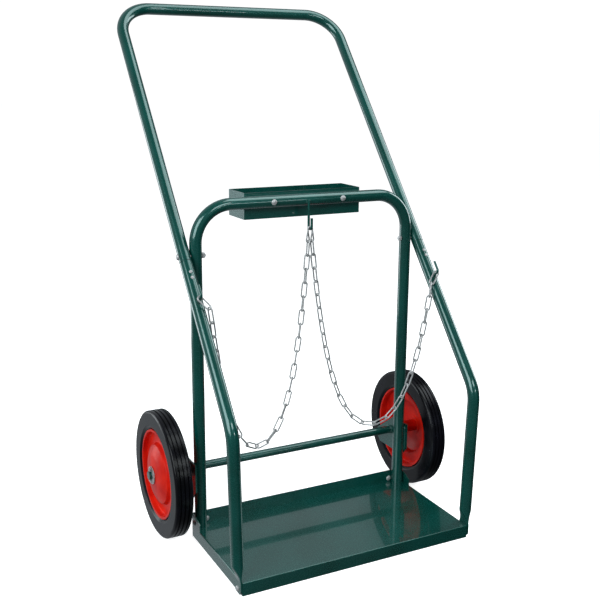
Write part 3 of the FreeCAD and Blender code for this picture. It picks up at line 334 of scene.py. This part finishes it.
# %% Give every node its finish
FINISHES = {
    "green_paint": green_paint,
    "red_paint": red_enamel,
    "dark_steel": dark_steel,
    "zinc_steel": zinc,
    "tyre_rubber": rubber,
    "bush_nylon": nylon,
}
node_slots = {part["node"]: part["material_slot"] for part in frame["record"]["subparts"]}
for node_name, node in nodes.items():
    finish = FINISHES[node_slots[node_name]]
    if not node.material_slots:
        node.data.materials.append(finish)
    for slot in node.material_slots:
        slot.material = finish
print({slot: sum(1 for name in node_slots if node_slots[name] == slot) for slot in FINISHES})

# %% [markdown]
# ## Weld beads
#
# Hooks, axle and brackets are welded on before painting. A hand-laid bead is a row of overlapping ripples. A
# bead along a seam starts as a ball with many rings, drawn out to the seam's length, and a bead round a rod
# starts as a torus. Each is then swollen and pinched in turn along its length. A bump pattern could hint at
# ripples, but these catch the light at the outline too. The paint covers the beads as it covers the rest.

# %% Weld bead tools
RIPPLE = 0.16
RING_RIPPLES = 12


def settle(piece, name):
    """Bake the piece's place into its mesh, paint it and let it ride the cart."""
    piece.name = name
    piece.data.name = name
    bpy.ops.object.transform_apply(location=True, rotation=True, scale=True)
    bpy.ops.object.shade_smooth()
    piece.data.materials.append(green_paint)
    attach(piece, "cart")
    return piece


def straight_bead(name, start, end, radius):
    """A rippled bead between two points, blunt at both ends."""
    start, end = Vector(start), Vector(end)
    length = (end - start).length
    ripples = max(6, round(length / radius))
    bpy.ops.object.select_all(action="DESELECT")
    bpy.ops.mesh.primitive_uv_sphere_add(segments=12, ring_count=ripples * 2, radius=radius)
    piece = bpy.context.object
    stretch = length / 2 / radius
    for point in piece.data.vertices:
        share = math.acos(max(-1.0, min(1.0, point.co.z / radius))) / math.pi
        fat = 1 + RIPPLE * math.sin(share * ripples * math.pi)
        around = math.hypot(point.co.x, point.co.y)
        wanted = radius * min(1.0, 4 * math.sin(share * math.pi)) * fat
        if around > 0:
            point.co.x *= wanted / around
            point.co.y *= wanted / around
        point.co.z = (1 - 2 * share) * radius * stretch
    piece.rotation_euler = (end - start).to_track_quat("Z", "Y").to_euler()
    piece.location = (start + end) / 2
    return settle(piece, name)


def ring_bead(name, centre, axis, ring, radius):
    """A rippled bead round a rod."""
    bpy.ops.object.select_all(action="DESELECT")
    bpy.ops.mesh.primitive_torus_add(major_segments=RING_RIPPLES * 6, minor_segments=10,
                                     major_radius=ring, minor_radius=radius)
    piece = bpy.context.object
    for point in piece.data.vertices:
        turn = math.atan2(point.co.y, point.co.x)
        middle = Vector((math.cos(turn), math.sin(turn), 0)) * ring
        point.co = middle + (point.co - middle) * (1 + RIPPLE * math.sin(turn * RING_RIPPLES))
    piece.rotation_euler = Vector(axis).to_track_quat("Z", "Y").to_euler()
    piece.location = centre
    return settle(piece, name)


print("bead ripple is", round(RIPPLE * 100), "% of its radius")

# %% [markdown]
# ## Where the welds are
#
# The centre hook's shank is welded to the crossbar along both of its sides. Each side hook stands in a ring
# of weld on its sloping brace, and the axle passes through both brackets in a ring of weld. Each bracket has
# two seams down its upright. The places follow from the boxes of the nodes that each bead joins, and from the
# knee and slope of the braces.

# %% Weld the centre hook
TUBE_RADIUS = 12.5 * MM
SEAM_BEHIND_SHANK = 0.9
HOOK_BEAD = 1.3 * MM
HOOK_BEAD_BELOW = 7 * MM
HOOK_BEAD_ABOVE = 1 * MM
hook_low, hook_high = (Vector(corner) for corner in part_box("centre_hook"))
rod = (hook_high.x - hook_low.x) / 2
hook_x = (hook_low.x + hook_high.x) / 2
seam_y = hook_high.y - rod + rod * SEAM_BEHIND_SHANK
crossbar_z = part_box("rear_frame")[1][2] - TUBE_RADIUS
beads = []
for side in (-1, 1):
    x = hook_x + side * rod
    beads.append(straight_bead(f"centre_hook_bead_{side}", (x, seam_y, crossbar_z - HOOK_BEAD_BELOW),
                               (x, seam_y, crossbar_z + HOOK_BEAD_ABOVE), HOOK_BEAD))
print("centre hook welded at z", round(crossbar_z, 4))

# %% Weld the side hooks
LEAN = math.radians(39.3)
KNEE_HEIGHT = 322.5 * MM
HOOK_ALONG = 265 * MM
HALF_FOOT = 14 * MM
ROD_MARGIN = 0.6 * MM
RING_BEAD = 1.5 * MM
up_slope = Vector((0, math.sin(LEAN), math.cos(LEAN)))
out_slope = Vector((0, -math.cos(LEAN), math.sin(LEAN)))
side_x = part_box("right_side_hook")[1][0] - rod
knee = Vector((0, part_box("right_leg_brace")[0][1] + HALF_FOOT, KNEE_HEIGHT))
hook_root = knee + up_slope * HOOK_ALONG + out_slope * TUBE_RADIUS
for side in (-1, 1):
    beads.append(ring_bead(f"side_hook_bead_{side}", (side * side_x, hook_root.y, hook_root.z), out_slope,
                           rod + ROD_MARGIN, RING_BEAD))
print("side hooks welded at", tuple(round(part, 4) for part in hook_root.yz))

# %% Weld the axle and its brackets
AXLE_BEAD = 2.0 * MM
AXLE_BEAD_IN = 0.5 * MM
BRACKET_BEAD = 2.1 * MM
BRACKET_BEAD_IN = 1.2 * MM
HALF_BRACKET_MARGIN = 1.5 * MM
SEAM_APART = 8.6 * MM
SEAM_UP = 12 * MM
SEAM_DOWN = 5 * MM
bracket_low, bracket_high = (Vector(corner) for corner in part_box("right_axle_bracket"))
upright_y = bracket_low.y + TUBE_RADIUS + HALF_BRACKET_MARGIN
for side in (-1, 1):
    x = side * (bracket_low.x - AXLE_BEAD_IN)
    beads.append(ring_bead(f"axle_bead_{side}", (x, axle_y, axle_z), (1, 0, 0),
                           axle_radius + ROD_MARGIN, AXLE_BEAD))
    for face in (-1, 1):
        x = side * (bracket_low.x - BRACKET_BEAD_IN)
        y = upright_y + face * SEAM_APART
        beads.append(straight_bead(f"bracket_bead_{side}_{face}", (x, y, bracket_low.z + SEAM_UP),
                                   (x, y, bracket_high.z - SEAM_DOWN), BRACKET_BEAD))
print("beads:", len(beads))

# %% [markdown]
# ## The floor
#
# A product shot stands on a pale floor that is as bright as what is behind it, so the ground fades away. The
# floor glows by itself and is left out of reflections, because a lit floor would turn the legs grey.

# %% Floor
bpy.ops.object.select_all(action="DESELECT")
FLOOR_RADIUS = 30.0
UNDER_WHEELS = -0.5 * MM
bpy.ops.mesh.primitive_circle_add(vertices=96, radius=FLOOR_RADIUS, fill_type="NGON",
                                  location=(0, 0, UNDER_WHEELS))
floor = bpy.context.object
floor.name = "floor"
pale, tree, shader, place = new_finish("pale_floor")
FLOOR_GREY = (0.86, 0.86, 0.86)
FLOOR_PALE = (0.90, 0.90, 0.90)
mottled = blend_colours(tree, noise(tree, place, 3.0), FLOOR_GREY, FLOOR_PALE)
tree.links.new(mottled, shader.inputs["Base Color"])
shader.inputs["Roughness"].default_value = 0.9
shader.inputs["Specular IOR Level"].default_value = 0.0
shader.inputs["Emission Color"].default_value = (1.0, 1.0, 1.0, 1.0)
shader.inputs["Emission Strength"].default_value = 0.85
floor.data.materials.append(pale)
floor.visible_glossy = False
floor.visible_diffuse = False
print("floor is", round(floor.dimensions.x, 1), "m across")

# %% [markdown]
# ## The room
#
# What the camera sees past the cart is plain white, but a white room would fill every reflection and turn the
# green grey. So the room is two backgrounds, mixed by whether a ray comes straight from the camera: all other
# rays meet a dim room, brighter behind the cart than in front, whose backdrop stops at an edge on the right.
# That edge shows in the deck, as the end of its bright part.

# %% The room around the stand
BACKDROP_GLOW = 0.42
FRONT_GLOW = 0.10
BACKDROP_EDGE = 0.46
EDGE_BLUR = 0.05
PAST_EDGE_SHARE = 0.3
SEEN_WHITE = 1.05
COOL_WHITE = (0.90, 0.98, 1.04, 1.0)
world = bpy.data.worlds.new("studio")
bpy.context.scene.world = world
world.use_nodes = True
tree = world.node_tree
tree.nodes.clear()
seen = tree.nodes.new("ShaderNodeBackground")
seen.inputs["Color"].default_value = (1.0, 1.0, 1.0, 1.0)
seen.inputs["Strength"].default_value = SEEN_WHITE
direction = tree.nodes.new("ShaderNodeTexCoord").outputs["Generated"]
parts = tree.nodes.new("ShaderNodeSeparateXYZ")
tree.links.new(direction, parts.inputs[0])
around = tree.nodes.new("ShaderNodeBackground")
around.inputs["Color"].default_value = COOL_WHITE
glow = ranged(tree, parts.outputs["Y"], (-0.2, 0.5), (FRONT_GLOW, BACKDROP_GLOW))
edge = (BACKDROP_EDGE, BACKDROP_EDGE + EDGE_BLUR)
glow_edge = ranged(tree, parts.outputs["X"], edge, (1.0, PAST_EDGE_SHARE))
tree.links.new(maths(tree, "MULTIPLY", glow, glow_edge), around.inputs["Strength"])
path = tree.nodes.new("ShaderNodeLightPath")
mix = tree.nodes.new("ShaderNodeMixShader")
out = tree.nodes.new("ShaderNodeOutputWorld")
tree.links.new(path.outputs["Is Camera Ray"], mix.inputs[0])
tree.links.new(around.outputs[0], mix.inputs[1])
tree.links.new(seen.outputs[0], mix.inputs[2])
tree.links.new(mix.outputs[0], out.inputs["Surface"])
print("room glows", FRONT_GLOW, "in front and", BACKDROP_GLOW, "behind")

# %% [markdown]
# ## The panels
#
# Painted tubes show what is around them, so the light comes from a few large soft panels: their reflections
# are the long highlights on the tubes, and the darker gaps between them keep the green deep. Each line gives
# a panel's name, place, width and height, and power in watts. All face the middle of the cart.

# %% Soft panels
PANEL_TINT = (0.92, 1.0, 1.02)
middle = (low + high) / 2
PANELS = (
    ("left_panel", (-2.8, -1.6, 1.9), (2.4, 2.4), 85.0),
    ("front_panel", (0.4, -3.4, 2.6), (1.6, 1.0), 28.0),
    ("right_panel", (3.0, 0.2, 1.5), (1.0, 2.4), 36.0),
    ("top_panel", (1.25, -0.4, 3.1), (2.0, 2.0), 38.0),
    ("strip_panel", (1.0, -3.0, 1.13), (0.9, 0.22), 5.0),
    ("low_back_panel", (-2.2, 2.6, 0.3), (1.4, 1.6), 22.0),
)
for name, spot, (width, height), power in PANELS:
    data = bpy.data.lights.new(name, "AREA")
    data.shape = "RECTANGLE"
    data.size = width
    data.size_y = height
    data.energy = power
    data.color = PANEL_TINT
    panel = bpy.data.objects.new(name, data)
    bpy.context.scene.collection.objects.link(panel)
    panel.location = spot
    panel.rotation_euler = (middle - Vector(spot)).to_track_quat("-Z", "Y").to_euler()
    panel.visible_camera = False
bpy.context.scene.view_settings.view_transform = "Standard"
print("panels:", [name for name, *_ in PANELS])
